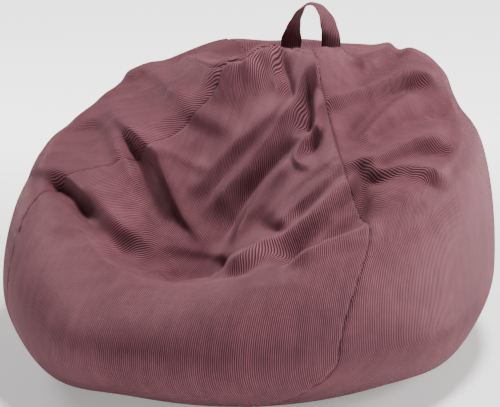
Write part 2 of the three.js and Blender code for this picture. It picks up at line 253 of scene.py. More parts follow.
zip_out = np.array([-math.sin(ZIP_TURN), math.cos(ZIP_TURN), 0])
zip_side = np.array([-zip_out[1], zip_out[0], 0])
zip_ends = [math.asin((plain_surface(3, v)[2] - ZIP_Z) / ZIP_R) for v in (ZIP_FROM, ZIP_TO)]


def zip_point(angle, height, side):
    angle, height, side = np.broadcast_arrays(*(np.asarray(n, float) for n in (angle, height, side)))
    angle, height, side = angle[..., None], height[..., None], side[..., None]
    out = zip_out * np.cos(angle) + np.array([0, 0, 1]) * np.sin(angle)
    return (out * (ZIP_R + height) + zip_out * ZIP_OUT + np.array([0, 0, ZIP_Z])
            + zip_side * side)


def zip_angle(v):
    return mix(*zip_ends, (v - ZIP_FROM) / (ZIP_TO - ZIP_FROM))


def surface(u, v):
    u, v = np.broadcast_arrays(np.asarray(u, float), np.asarray(v, float))
    near = (smooth(1 - abs(u - 3) / 0.6) * smooth((v - ZIP_FROM + 0.35) / 0.35)
            * smooth((ZIP_TO + 0.3 - v) / 0.3))
    shift = zip_point(zip_angle(v), 0, 0) - plain_surface(0 * u + 3, v)
    return plain_surface(u, v) + near[..., None] * shift


def facing(u, v):
    u, v = np.broadcast_arrays(np.asarray(u, float), np.asarray(v, float))
    e = 1e-3
    safe = np.where(v < 1.01, 1.01, np.where((v > 3.99) & (v < 4.02), 3.99, np.minimum(v, 4.9)))
    across = surface(u + e, safe) - surface(u - e, safe)
    up = surface(u, safe + e) - surface(u, safe - e)
    n = np.cross(across, up)
    n /= np.maximum(np.linalg.norm(n, axis=-1, keepdims=True), 1e-12)
    flat = smooth((v - 4) / 0.5)[..., None]
    n = mix(n, np.array([0, 0, 1.0]), flat)
    n = np.where((v < 1)[..., None], np.array([0, 0, -1.0]), n)
    return n / np.linalg.norm(n, axis=-1, keepdims=True)


# Folds are drawn on a board square to the camera's line of sight, in centimetres right of and
# above the middle of the view. Each is its height in centimetres (negative for a crease), the
# widths of its left and right flanks seen along the line, how far its top leans to the right,
# the row of the panel below which it dies out, and its line of points.
FOLDS = [
    # crease behind the front lobe
    (-1.1, 2.4, 1.5, 0, 2.9, [(-27, -6), (-23.5, -9.5), (-19, -11.8), (-11.5, -12.5), (-4.5, -12),
                              (3, -11)]),
    (0.7, 1.4, 1.4, 0, 2.9, [(-18, -11), (-14, -10.8), (-9, -11), (-4, -11.5)]),
    # big roll that comes over the left arm and runs along the seat
    (2.1, 4.6, 1.3, 0.4, 2.3, [(-42, 5), (-39, 6.5), (-35.5, 6.5), (-32, 5), (-28.5, 1.5),
                               (-25, -2), (-22.5, -4.5), (-19.5, -5.5), (-15, -7.5)]),
    (1.3, 2.6, 1.2, 0.2, 2.7, [(-18, -6.5), (-15, -7.5), (-10.5, -8),
                               (-6.5, -8.5), (-3, -9), (1, -8.5)]),
    (-1.2, 0.7, 1.6, 0, 2.4, [(-38, 5), (-36, 4.5), (-31, 2.5), (-26.5, -2), (-23.5, -5), (-21, -8),
                              (-20, -11)]),
    (-0.7, 1.0, 1.2, 0, 2.8, [(-31, 1), (-28, -3), (-25.5, -7), (-22.5, -10)]),
    (0.5, 1.2, 1.2, 0, 2.6, [(-37, -3), (-32, -4.5), (-27.5, -7.5), (-23, -11)]),
    # left arm
    (0.9, 1.8, 1.0, 0.1, 2.7, [(-32, 13), (-28, 15), (-26, 14.5), (-24.5, 13), (-23.5, 10),
                               (-22, 7), (-19, 2)]),
    (1.9, 2.4, 1.1, 0.2, 2.6, [(-28, 17), (-25.5, 17), (-23, 15), (-20.5, 12.5), (-18, 10.5),
                                (-16, 8), (-15, 5.5), (-13.5, 2), (-12, -2), (-9.5, -5),
                                (-7, -8)]),
    (-1.3, 0.7, 1.2, 0, 2.8, [(-22, 13), (-19.5, 7.5), (-18, 3), (-16, -1), (-14, -5)]),
    (0.6, 0.9, 0.7, 0, 2.8, [(-18.5, 11), (-16, 9.5), (-13, 8.5), (-9, 6.5), (-6.5, 5.5)]),
    # roll under the left of the cap, with the hollow below it
    (1.1, 1.8, 0.9, 0.1, 2.7, [(-23, 21.5), (-19.5, 24), (-17, 23), (-14, 20.5), (-12, 18)]),
    (0.8, 2.0, 2.2, 0, 2.8, [(-14.5, 21), (-12.5, 18.5), (-9.5, 16.5), (-7.5, 15.5),
                               (-5.5, 14), (-3.5, 13), (-1.5, 13.5)]),
    (-0.3, 0.9, 1.6, 0, 2.9, [(-14, 17.5), (-10.5, 14), (-6.5, 12), (-2, 12)]),
    # upper edge of the front gore, standing up in front of the cap
    (2.0, 0.7, 3.0, -0.5, 3.2, [(-15, 27), (-12, 26.5), (-9, 24.5), (-7, 23.5), (-4.5, 24),
                                (-3, 25), (-0.5, 25), (0.5, 26.5), (2.5, 27.5), (5.5, 28),
                                (8.5, 26.5), (11, 26), (12.5, 26.5), (15.5, 27.5), (19, 26.5)]),
    (-1.4, 0.9, 0.9, 0, 3.2, [(-9, 26), (-4.5, 26.5), (-1, 27.5), (2, 29), (7, 29.5),
                              (12.5, 28.5), (17, 28.5)]),
    (-1.0, 0.6, 0.8, 0, 3.2, [(5.5, 28), (5.5, 24.5), (7, 21.5), (7, 18)]),
    (0.6, 1.0, 0.7, 0, 3.2, [(3.5, 27), (4, 23), (5.5, 19)]),
    # long folds from the cap down across the seat
    (1.1, 1.4, 1.8, 0, 2.9, [(7.5, 20.5), (5.5, 18.5), (2.5, 15.5), (-2, 11.5), (-5.5, 7.5),
                             (-9, 3), (-12.5, 0.5)]),
    (-0.4, 0.7, 0.8, 0, 2.9, [(9.5, 22.5), (6, 17.5), (2.5, 12.5), (-1, 8.5), (-5, 4),
                              (-9, -1)]),
    (1.2, 2.2, 1.7, 0.1, 2.9, [(16, 28), (12, 25), (9.5, 21), (7, 17.5), (3, 12.5), (0.5, 8.5),
                               (-3, 4.5), (-7, -1), (-9.5, -4)]),
    (0.9, 0.9, 0.8, 0, 3.0, [(15, 27), (12.5, 25), (11.5, 22), (11, 19), (11.5, 15.5), (12, 10)]),
    (-2.6, 1.0, 1.0, 0, 3.0, [(11.5, 23), (9.8, 18), (9.5, 14.5), (9, 12)]),
    (0.9, 0.8, 0.6, 0, 3.0, [(12, 15), (9, 10.5), (7.5, 8.5), (9.5, 6.5), (12, 7.5)]),
    (-1.4, 0.7, 0.7, 0, 3.0, [(12, 13.5), (11.5, 11), (10, 8.5)]),
    (1.2, 2.2, 0.7, 0, 2.9, [(8, 9.5), (5, 6), (2, 2.5), (-0.5, -1), (-2, -4), (-3.5, -8)]),
    (-1.1, 0.6, 0.8, 0, 2.9, [(9, 12), (4.5, 7.5), (1, 3.5), (-1.8, -0.5), (-3.5, -4),
                              (-5, -7.5)]),
    (0.8, 0.9, 0.9, 0, 2.9, [(16.5, 10.5), (15, 8.5), (11.5, 6), (7.5, 2.5), (4.5, -0.5),
                             (2, -4)]),
    (1.2, 0.8, 1.1, 0, 2.9, [(18, 9), (15, 5.5), (11.5, 2.5), (8, -0.5), (5, -3), (2, -4.5)]),
    (-1.0, 0.8, 0.7, 0, 2.9, [(17.5, 7.5), (13, 3.5), (9.5, -0.5), (6, -3.5), (1.5, -6.5)]),
    # the low roll on the right of the seat and the deep crease under it
    (2.0, 0.8, 1.7, 0.2, 2.9, [(20, 7), (16, 2), (13, -1), (10, -3.5), (6, -6), (2, -8),
                               (-2, -10.5), (-7, -13)]),
    (-2.8, 1.9, 1.5, 0, 2.9, [(22, 3.5), (19, 0), (16, -3), (12.5, -5.5), (9, -8), (4, -10.5)]),
    (1.1, 2.8, 0.7, 0.2, 2.7, [(33, 3.5), (28.5, 5), (24.5, 4), (20.5, 1.5), (17, -1),
                               (12.5, -4.5), (9.5, -7.5), (5, -11)]),
    (0.6, 0.6, 0.9, 0, 2.7, [(24, -4), (18, -5), (15, -6), (11, -7)]),
    (0.6, 0.6, 0.9, 0, 2.7, [(25, -7), (19, -6.5), (15, -7.5), (10, -9), (6, -11)]),
    # folds that fan out over the right arm
    (-1.1, 1.3, 1.2, 0, 2.8, [(28, 28.5), (23.5, 24.5), (20.5, 23), (17, 21)]),
    (0.8, 1.0, 1.0, 0, 2.8, [(26, 29), (22, 26), (19, 24)]),
    (1.7, 1.1, 2.0, 0.1, 2.7, [(35.5, 19.5), (32, 22.3), (28.5, 23), (25.5, 22.5), (20, 20.3),
                               (16.5, 19), (13, 17.5), (10.5, 16.5)]),
    (-1.3, 1.0, 1.5, 0, 2.8, [(32, 21), (28, 21), (25, 19.5), (22.5, 17.5), (20, 14.5),
                              (16.5, 10)]),
    (0.9, 1.8, 0.7, 0, 2.8, [(30, 20.5), (26, 19), (22.5, 15.5), (18.5, 10.5)]),
    (1.8, 0.9, 1.3, 0, 2.6, [(36, 12), (32, 11.7), (28, 10.7), (24, 9), (20, 7.5), (16, 7)]),
    (2.0, 0.8, 1.7, 0, 2.6, [(36, 3.5), (32, 5.5), (27.5, 6.7), (23.5, 5.7), (19, 5)]),
    (-0.9, 0.8, 0.8, 0, 2.6, [(37, 9), (32, 9.3), (27, 8.3), (21, 6.3)]),
    (-0.9, 0.8, 0.9, 0, 2.6, [(36, 16), (31, 16), (26, 14), (21, 11)]),
    (-0.7, 0.9, 0.8, 0, 2.8, [(30, 4.5), (25, 4.3), (20.5, 3.2)]),
]


# Broad swells of the beads, on the same board: centre, radius and height in centimetres.
SWELLS = [((-5, 28), 6, 1.3), ((28.5, 25.5), 5.5, 2.0), ((38, 18), 4, -1.1),
          ((-30, 17), 7, -1.5), ((-38, 9), 4, -1.7), ((-33, -29.5), 8, 1.9), ((33, -27), 7, 1.3)]


def on_board(points):
    """Where points are seen on the board, which stands at the camera's distance."""
    away = points - np.array(EYE)
    depth = -(away @ np.array(TO_EYE))
    flat = np.stack([away @ np.array(ACROSS), away @ np.array(UPWARD)], -1)
    return flat * (EYE_DISTANCE / CM / depth)[..., None]


def rounded_line(line, times=2):
    line = np.array(line, float)
    for _ in range(times):
        a, b = line[:-1], line[1:]
        cut = np.stack([0.75 * a + 0.25 * b, 0.25 * a + 0.75 * b], 1).reshape(-1, 2)
        line = np.concatenate([line[:1], cut, line[-1:]])
    return line


def beside_line(points, line):
    """Signed distance right of a line, how far along it, 0 to 1, and the way to its right."""
    lengths = np.linalg.norm(np.diff(line, axis=0), axis=1)
    starts = np.concatenate([[0], np.cumsum(lengths)])
    best = np.full(len(points), np.inf)
    side, along, right = np.zeros(len(points)), np.zeros(len(points)), np.zeros((len(points), 2))
    for k, length in enumerate(lengths):
        way = (line[k + 1] - line[k]) / length
        rel = points - line[k]
        t = np.clip(rel @ way, 0, length)
        off = rel - t[:, None] * way
        d = np.hypot(off[:, 0], off[:, 1])
        better = d < best
        best[better] = d[better]
        side[better] = np.where(off[:, 0] * way[1] - off[:, 1] * way[0] >= 0, d, -d)[better]
        along[better] = ((starts[k] + t) / starts[-1])[better]
        right[better] = (way[1], -way[0])
    return side, along, right


def ripple(points, size, seed, count=7):
    """Smooth, even lumps of about the given size, from -1 to 1."""
    rng = np.random.default_rng(seed)
    total = np.zeros(points.shape[:-1])
    for _ in range(count):
        way = rng.normal(size=3)
        way *= rng.uniform(0.7, 1.5) / np.linalg.norm(way)
        total += np.sin(points @ way * (2 * np.pi / size) + rng.uniform(0, 2 * np.pi))
    return total / math.sqrt(count)


DRAWN = [(height * (RIDGE_HEIGHT if height > 0 else CREASE_DEPTH), *rest, rounded_line(line))
         for height, *rest, line in FOLDS]


def soften(field, times):
    for _ in range(times):
        field = (np.roll(field, 1, 1) + 2 * field + np.roll(field, -1, 1)) / 4
        tall = np.concatenate([field[:1], field, field[-1:]])
        field = (tall[:-2] + 2 * tall[1:-1] + tall[2:]) / 4
    return field


def slack_shift(u, v):
    """How far the slack moves each point of the bag, on a grid that goes all the way round."""
    points, normals = surface(u, v).reshape(-1, 3), facing(u, v).reshape(-1, 3)
    rows, turn = v.reshape(-1), angle_at(u, v).reshape(-1)
    towards = np.array(EYE) - points
    towards /= np.linalg.norm(towards, axis=-1, keepdims=True)
    facing_eye = (normals * towards).sum(-1)
    seen = smooth((facing_eye + 0.25) / 0.3)
    board = on_board(points)
    swell = np.zeros(len(points))
    for centre, radius, height in SWELLS:
        off = np.linalg.norm(board - centre, axis=-1) / radius
        swell += CM * height * np.exp(-off ** 2)
    slack = smooth((rows - 2.3) / 0.7) * (1 - smooth((rows - 4.2) / 0.6))
    small = (1 - abs(ripple(points, 0.10, 3))) * LUMP_HEIGHT * slack
    fan = np.sin(7 * turn + 2 * np.sin(1.7 * rows + 0.5)) + 0.6 * np.sin(13 * turn - 1.5 * rows)
    small += FAN_HEIGHT * fan * smooth((rows - 2.7) / 0.5) * smooth((4 - rows) / 0.3) * (1 - seen)
    small *= 1 - smooth(1 - abs(u.reshape(-1) - 3) / 0.12) * smooth((2.8 - rows) / 0.1)
    swell *= smooth((facing_eye + 0.6) / 0.4)
    plain = normals * (small + swell)[:, None]
    near = [np.where(np.all((board > line.min(0) - 4 - 4 * max(left, right_w))
                            & (board < line.max(0) + 4 + 4 * max(left, right_w)), -1)
                     & (rows > low - 0.1) & (seen > 0))[0]
            for height, left, right_w, lean, low, line in DRAWN]
    rise, sink = np.zeros(points.shape), np.zeros(points.shape)
    for _ in range(FOLD_STEPS):
        board = on_board(points + plain + rise + CREASE_FOLLOW * sink)
        wanted = {True: np.zeros(points.shape), False: np.zeros(points.shape)}
        for (height, left, right_w, lean, low, line), some in zip(DRAWN, near):
            side, along, right = beside_line(board[some], line)
            across = np.hypot(side / np.where(side > 0, right_w, left), FOLD_ROUND) - FOLD_ROUND
            ends = smooth(along / 0.2) * smooth((1 - along) / 0.2)
            amount = (CM * height * np.exp(-across ** FOLD_SHARP) * ends
                      * smooth((rows[some] - low + 0.08) / 0.2) * seen[some])
            way = right[:, :1] * np.array(ACROSS) + right[:, 1:] * np.array(UPWARD)
            wanted[height > 0][some] += (normals[some] * amount[:, None]
                                         + way * (lean * amount)[:, None])
        rise += FOLD_SETTLE * (wanted[True] - rise)
        sink += FOLD_SETTLE * (wanted[False] - sink)
    return soften((plain + rise + sink).reshape(*u.shape, 3), SOFTEN)


FIELD_ROWS = np.concatenate([np.linspace(0.99, 2, 20), np.linspace(2, 3, 60)[1:],
                             np.linspace(3, 4, 140)[1:], np.linspace(4, 5, 10)[1:]])
FIELD_COLUMNS = 600
field_u = np.linspace(0, 4, FIELD_COLUMNS, endpoint=False)[None, :] + 0 * FIELD_ROWS[:, None]
field_v = FIELD_ROWS[:, None] + 0 * field_u
cover_field, field_out = slack_shift(field_u, field_v), facing(field_u, field_v)
cover_field *= (1 - smooth((field_v - 4.05) / 0.12))[..., None]
cover_field[..., 2] = np.maximum(cover_field[..., 2], -0.85 * surface(field_u, field_v)[..., 2])
# Inner layers lie as low as the cover does anywhere near, so they never come through a fold.
depth = low = (cover_field * field_out).sum(-1)
for _ in range(BRIDGE_STEPS):
    low = np.minimum(low, np.minimum(np.roll(low, 1, 1), np.roll(low, -1, 1)))
    tall = np.concatenate([low[:1], low, low[-1:]])
    low = np.minimum(low, np.minimum(tall[:-2], tall[2:]))
low = np.minimum(low, soften(low[..., None], 3)[..., 0])
FIELDS = [cover_field, cover_field + field_out * (low - depth)[..., None]]


def fold_shift(u, v, inner=False):
    """How far the slack moves any point, read between the grid's own points."""
    field = FIELDS[inner]
    u, v = np.broadcast_arrays(u, v)
    count = len(FIELD_ROWS)
    row = np.clip(np.interp(v, FIELD_ROWS, np.arange(count)), 0, count - 1.001)
    column = (u % 4) / 4 * FIELD_COLUMNS
    i, j = row.astype(int), column.astype(int)
    a, b = (row - i)[..., None], (column - j)[..., None]
    j, after = j % FIELD_COLUMNS, (j + 1) % FIELD_COLUMNS
    lower = mix(field[i, j], field[i, after], b)
    return mix(lower, mix(field[i + 1, j], field[i + 1, after], b), a)


def panel_grid(first, last, rows, columns):
    """Columns crowd towards both seams, and stop short of them by the seam gap or zip slot."""
    samples = surface(first + (last - first) * np.linspace(0, 1, 41)[None, :], rows[:, None])
    width = np.linalg.norm(np.diff(samples, axis=1), axis=-1).sum(1)[:, None]
    steps = np.minimum(EDGE_STEPS[None, :], 0.25 * width * EDGE_STEPS[None, :] / EDGE_STEPS[-1])
    inner = np.linspace(0, 1, columns - 2 * len(EDGE_STEPS) + 2)[None, 1:-1]
    zipped = smooth((rows - ZIP_FROM) / 0.012 + 1) * smooth((ZIP_TO - rows) / 0.012 + 1)
    gaps = [(SEAM_GAP + (ZIP_SLOT - SEAM_GAP) * zipped * (seam % 4 == 3))[:, None]
            for seam in (first, last)]
    low, high = gaps[0] + steps, width - gaps[1] - steps[:, ::-1]
    run = np.concatenate([low, low[:, -1:] + (high[:, :1] - low[:, -1:]) * inner, high], 1)
    edge = np.minimum(run - gaps[0], width - gaps[1] - run)
    u = first + (last - first) * run / width
    return u, np.broadcast_to(rows[:, None], run.shape), run - width / 2, edge


def new_piece(name, verts, faces, finish, body="bag"):
    mesh = bpy.data.meshes.new(name)
    mesh.from_pydata(np.asarray(verts, float).tolist(), [], faces)
    mesh.validate()
    mesh.polygons.foreach_set("use_smooth", [True] * len(mesh.polygons))
    mesh.materials.append(finish.material)
    piece = bpy.data.objects.new(name, mesh)
    bpy.context.collection.objects.link(piece)
    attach(piece, body)
    return piece


def shell_piece(name, outer, inner, finish, closed=False):
    """Two facing grids of points, joined round their edges."""
    rows, columns = outer.shape[:2]
    half = rows * columns
    across = columns if closed else columns - 1
    faces = []
    for i in range(rows - 1):
        for j in range(across):
            k = (j + 1) % columns
            a, b = i * columns + j, i * columns + k
            c, d = b + columns, a + columns
            faces += [(a, b, c, d), (d + half, c + half, b + half, a + half)]
            if i == 0:
                faces.append((b, a, a + half, b + half))
            if i == rows - 2:
                faces.append((d, c, c + half, d + half))
            if j == 0 and not closed:
                faces.append((a, d, d + half, a + half))
            if j == across - 1 and not closed:
                faces.append((c, b, b + half, c + half))
    verts = np.concatenate([outer.reshape(-1, 3), inner.reshape(-1, 3)])
    return new_piece(name, verts, faces, finish)


def lay_cloth(piece, across, along, number):
    """Marks where each point was on the flat cloth, in metres."""
    cloth = np.stack([across, along, 0 * across + number], -1).reshape(-1, 3)
    count = len(piece.data.vertices) // len(cloth)
    data = piece.data.attributes.new("cloth", "FLOAT_VECTOR", "POINT")
    data.data.foreach_set("vector", np.tile(cloth, (count, 1)).astype(np.float32).reshape(-1))


WALE = 0.0033
corduroy = Finish("plum_corduroy", roughness=0.85, specular_ior_level=0.2, sheen_weight=0.2,
                  sheen_roughness=0.4, sheen_tint=(0.85, 0.45, 0.51))
cloth_at = corduroy.node("Attribute", {"attribute_name": "cloth"}, out="Vector")
across_m = corduroy.node("SeparateXYZ", {}, {"Vector": cloth_at}, "X")
phase = across_m * (math.pi / WALE) + corduroy.noise(cloth_at, 11, 2) * 0.9
rib = corduroy.node("Math", {"operation": "ABSOLUTE"},
                    {0: corduroy.node("Math", {"operation": "SINE"}, {0: phase})}) ** 0.8
place = corduroy.node("TexCoord", out="Object")
nap = corduroy.curve(corduroy.noise(place, 9, 4, 0.6), 0.3, 0.7, 0.86, 1.12)
brushed = corduroy.curve(corduroy.noise(place, 38, 3, 0.6), 0.25, 0.75, 0.92, 1.08)
fuzz = corduroy.noise(place, 900, 2, 0.6)
streak = corduroy.node("VectorMath", {"operation": "MULTIPLY"}, {0: cloth_at, 1: (80, 14, 1)})
brushed = brushed * corduroy.curve(corduroy.noise(streak, 1.0, 3, 0.6), 0.3, 0.7, 0.90, 1.10)
# Painted shade: the grooves between the wales are coloured darker, standing in for the shade in
# them; nap, brushing and fuzz are random tone.
tone_with_groove_shade = nap * brushed * (0.16 + rib ** 2.4 * 1.50) * (0.93 + fuzz * 0.14)
corduroy.set(base_color=corduroy.node("CombineXYZ", {}, {"X": tone_with_groove_shade * 0.131, "Y": tone_with_groove_shade * 0.043,
                                                         "Z": tone_with_groove_shade * 0.057}),
             roughness=0.92 - rib * 0.12, normal=corduroy.bump(rib + fuzz * 0.2, 0.0014))

panel_rows = np.unique(np.concatenate([
    np.linspace(1.002, 2, 46), np.linspace(2, 3, 64), np.linspace(3, 3.95, 120),
    4 - np.array([0.002, 0.0045, 0.008, 0.012, 0.018, 0.026, 0.036])]))
for number, name in enumerate(("front_panel", "right_panel", "rear_panel", "left_panel")):
    u, v, cloth_x, edge = panel_grid(number, number + 1, panel_rows, PANEL_COLUMNS)
    shift, base, out = fold_shift(u, v), surface(u, v), facing(u, v)
    climb = np.linalg.norm(np.diff(base[:, PANEL_COLUMNS // 2], axis=0), axis=-1)
    cloth_y = np.concatenate([[0], np.cumsum(climb)])[:, None] + 0 * u
    ends = np.minimum(edge, np.minimum(abs(cloth_y - cloth_y[-1, 0]), cloth_y + 0.0005))
    pucker = (np.sin(cloth_y * (2 * np.pi / 0.024) + 2 * ripple(base, 0.2, 11 + number))
              * (0.6 + 0.4 * ripple(base, 0.3, 21)) * 0.0011 * np.exp(-(edge / 0.016) ** 2))
    turned = GROOVE * np.exp(-(ends / GROOVE_W) ** 2)
    outer = base + shift + out * (pucker - turned)[..., None]
    inner = base + shift + out * (pucker - COVER_T)[..., None]
    outer[..., 2] = np.maximum(outer[..., 2], 0)
    panel = shell_piece(name + "_cloth", outer, inner, corduroy)
    lay_cloth(panel, cloth_x, cloth_y, number)
    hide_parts(name)


# Base and top cap ---------------------------------------------------------------------------
# A round base of the same corduroy closes the bottom, and a small round cap closes the top
# where the four gores meet. Both are sewn in with a plain seam.
def disc_piece(name, rows, seam_row, ribs_turn, finish, lift=0.0):
    columns = 160
    u = np.linspace(0, 4, columns, endpoint=False)[None, :] + 0 * rows[:, None]
    v = rows[:, None] + 0 * u
    base, out = surface(u, v), facing(u, v)
    shift = fold_shift(u, v) if seam_row > 3 else 0 * base
    edge = abs(v - seam_row) * (CAP_R if seam_row > 3 else FLOOR_R)
    turned = GROOVE * np.exp(-(edge / GROOVE_W) ** 2)
    outer = base + shift + out * (lift - turned)[..., None]
    inner = base + shift - out * COVER_T
    disc = shell_piece(name, outer, inner, finish, closed=True)
    c, s = math.cos(ribs_turn), math.sin(ribs_turn)
    lay_cloth(disc, base[..., 0] * c + base[..., 1] * s, base[..., 1] * c - base[..., 0] * s, 7)
    return disc


base_rows = np.unique(np.concatenate([np.linspace(0.0, 0.95, 14) + 0.002,
                                      1 - np.array([0.001, 0.006, 0.012, 0.02, 0.034])]))
base_panel = disc_piece("base_panel_cloth", base_rows, 1, 0.0, corduroy)
cap_rows = 4 + np.array([0.004, 0.02, 0.045, 0.08, 0.12, 0.18, 0.26, 0.36, 0.5, 0.65, 0.8,
                         0.92, 0.995])
top_cap = disc_piece("top_cap_cloth", cap_rows, 4, 0.3, corduroy, 0.001)
for piece, node in ((base_panel, "base_panel"), (top_cap, "top_cap")):
    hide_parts(node)


# Handle -------------------------------------------------------------------------------------
# One strap of the same corduroy, folded double with its edges turned in and stitched, sewn
# flat into the cap's rear seam at both feet. It turns edge-on as it goes over.
HANDLE_AT, HANDLE_TURN, HANDLE_HALF, HANDLE_HIGH = (0.015, 0.240, 0.4906), 12, 0.038, 0.084
HANDLE_WIDE, HANDLE_THICK, HANDLE_STATIONS = 0.037, 0.004, 120


def handle_frame(t):
    turn = math.radians(HANDLE_TURN)
    across = np.array([math.cos(turn), math.sin(turn), 0])
    depth = np.array([-across[1], across[0], 0])
    rising = t < np.pi / 2
    half = 2 * t / np.pi if rising else 2 - 2 * t / np.pi
    stay = smooth((t if rising else np.pi - t) / 0.5)
    twist = math.radians(mix(0, mix(25 if rising else 45, 90, smooth(half)), stay))
    centre = np.array(HANDLE_AT) + across * HANDLE_HALF * math.cos(t) \
        + np.array([0, 0, HANDLE_HIGH * math.sin(t)])
    along = across * -HANDLE_HALF * math.sin(t) + np.array([0, 0, HANDLE_HIGH * math.cos(t)])
    along /= np.linalg.norm(along)
    side = across * math.cos(twist) + depth * math.sin(twist)
    side -= along * (side @ along)
    side /= np.linalg.norm(side)
    return centre, along, side, np.cross(along, side)


def tube_mesh(rings, start=0):
    """Faces of a closed tube through rings of points, with its ends filled."""
    rows, columns = rings.shape[:2]
    faces = [(start + i * columns + j, start + i * columns + (j + 1) % columns,
              start + (i + 1) * columns + (j + 1) % columns, start + (i + 1) * columns + j)
             for i in range(rows - 1) for j in range(columns)]
    return faces + [tuple(range(start, start + columns))[::-1],
                    tuple(range(start + (rows - 1) * columns, start + rows * columns))]


def turn_outward(piece):
    mesh = bmesh.new()
    mesh.from_mesh(piece.data)
    bmesh.ops.recalc_face_normals(mesh, faces=mesh.faces)
    mesh.to_mesh(piece.data)
    mesh.free()


def tube_piece(name, rings, finish, body="bag"):
    piece = new_piece(name, rings.reshape(-1, 3), tube_mesh(rings), finish, body)
    turn_outward(piece)
    return piece


section = np.linspace(0, 2 * np.pi, 40, endpoint=False)
strap, strap_x, strap_y, run = [], [], [], 0.0
for n, t in enumerate(np.linspace(0, np.pi, HANDLE_STATIONS)):
    centre, along, side, face = handle_frame(t)
    if n:
        run += np.linalg.norm(centre - last)
    last = centre
    w = np.sign(np.cos(section)) * abs(np.cos(section)) ** 0.55
    h = np.sign(np.sin(section)) * abs(np.sin(section)) ** 0.75
    stitched = 1 - 0.38 * np.exp(-((abs(w) - 0.80) / 0.06) ** 2)
    wave = 0.0010 * math.sin(run * 95 + 1) * (1 - w ** 2) + 0.0007 * math.sin(run * 210) * w
    pinch = 1 - 0.05 * math.sin(t) - 0.04 * math.sin(run * 60)
    strap.append(centre + np.outer(w * pinch * HANDLE_WIDE / 2, side)
                 + np.outer(h * stitched * HANDLE_THICK / 2 + wave, face))
    strap_x.append(w * HANDLE_WIDE / 2)
    strap_y.append(0 * w + run)
handle = tube_piece("handle_strap", np.array(strap), corduroy, "handle")
lay_cloth(handle, np.array(strap_x), np.array(strap_y), 9)
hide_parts("handle_loop")


# Liner and beads ----------------------------------------------------------------------------
# The inner bag is thin white polyester in two halves and a round base, and it holds the beads.
# It follows the cover's folds from the inside.
LINER_DEPTH, LINER_T, FILL_DEPTH, BEAD_LUMP = 0.0082, 0.001, 0.0145, 0.0008
liner_finish = Finish("white_polyester", roughness=0.8, specular_ior_level=0.3, sheen_weight=0.15)
liner_place = liner_finish.node("TexCoord", out="Object")
weave = liner_finish.node("TexWave", {"wave_type": "BANDS", "bands_direction": "DIAGONAL"},
                          {"Vector": liner_place, "Scale": 320.0, "Distortion": 0.5}, "Fac")
crease = liner_finish.noise(liner_place, 24, 4)
# Painted shade: the same noise that raises the crinkles colours their hollows darker and their tops
# lighter.
liner_finish.set(base_color=liner_finish.blend(crease, (0.74, 0.73, 0.70), (0.84, 0.83, 0.80)),
                 normal=liner_finish.bump(weave * 0.1 + crease, 0.003))
liner_rows = np.concatenate([np.linspace(1.002, 2, 22), np.linspace(2, 3, 32)[1:],
                             np.linspace(3, 4, 50)[1:], np.linspace(4, 4.999, 8)[1:]])
for name, first in (("liner_left_half", 3), ("liner_right_half", 1)):
    u = np.linspace(first + 0.0006, first + 2 - 0.0006, 101)[None, :] + 0 * liner_rows[:, None]
    v = liner_rows[:, None] + 0 * u
    base, out, shift = surface(u, v), facing(u, v), fold_shift(u, v, inner=True)
    liner = shell_piece(name + "_cloth", base + shift - out * LINER_DEPTH,
                        base + shift - out * (LINER_DEPTH + LINER_T), liner_finish)
    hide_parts(name)

base_u = np.linspace(0, 4, 120, endpoint=False)[None, :]
base_v = np.linspace(0.002, 0.999, 12)[:, None] + 0 * base_u
under = surface(base_u + 0 * base_v, base_v)
liner_base = shell_piece("liner_base_cloth", under + [0, 0, LINER_DEPTH],
                         under + [0, 0, LINER_DEPTH + LINER_T], liner_finish, closed=True)
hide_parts("liner_base")

bead_finish = Finish("foam_beads", roughness=0.7)
bead_place = bead_finish.node("TexCoord", out="Object")
cell = bead_finish.node("TexVoronoi", {}, {"Vector": bead_place, "Scale": 260.0}, "Distance")
# Painted shade: the gaps between the beads are coloured darker, standing in for the shade between
# them.
bead_finish.set(base_color=bead_finish.blend(bead_finish.curve(cell, 0.3, 0.7),
                                             (0.90, 0.90, 0.88), (0.55, 0.55, 0.54)),
                normal=bead_finish.bump(1 - cell, 0.003))
bead_rows = np.concatenate([np.linspace(0.002, 1, 10), np.linspace(1.03, 2, 24),
                            np.linspace(2, 3, 30)[1:], np.linspace(3, 4.999, 60)[1:]])
u = np.linspace(0, 4, 200, endpoint=False)[None, :] + 0 * bead_rows[:, None]
v = bead_rows[:, None] + 0 * u
base, out = surface(u, v), facing(u, v)
lumps = BEAD_LUMP * (1 + ripple(base, 0.02, 5))
heap = base + fold_shift(u, v, inner=True) - out * (FILL_DEPTH + lumps)[..., None]
beads = tube_piece("bead_heap", heap, bead_finish)
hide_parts("bead_filling")


# Cover zip ----------------------------------------------------------------------------------
# A closed nylon coil zip in the rear-left seam: two woven tapes sewn under the panel edges, a
# coil along each, pressed metal stops at both ends, and a die-cast slider with a bridge and a
# loose pull.
MM = 0.001
tape_finish = Finish("plum_tape", roughness=0.85, specular_ior_level=0.25)
tape_place = tape_finish.node("TexCoord", out="Object")
tape_weave = tape_finish.node("TexWave", {"wave_type": "BANDS", "bands_direction": "DIAGONAL"},
                              {"Vector": tape_place, "Scale": 700.0, "Distortion": 1.0}, "Fac")
tape_finish.set(base_color=tape_finish.blend(tape_weave, (0.075, 0.026, 0.034),
                                             (0.125, 0.045, 0.056)),
                normal=tape_finish.bump(tape_weave, 0.0004))
coil_finish = Finish("plum_nylon", roughness=0.35, specular_ior_level=0.5)
coil_shade = coil_finish.noise(coil_finish.node("TexCoord", out="Object"), 260)
coil_finish.set(base_color=coil_finish.blend(coil_shade, (0.085, 0.030, 0.038),
                                             (0.120, 0.045, 0.055)),
                roughness=0.28 + coil_shade * 0.2)
metal_finish = Finish("die_cast_metal", metallic=1.0, roughness=0.3)
metal_place = metal_finish.node("TexCoord", out="Object")
metal_wear = metal_finish.noise(metal_place, 340, 5, 0.6)
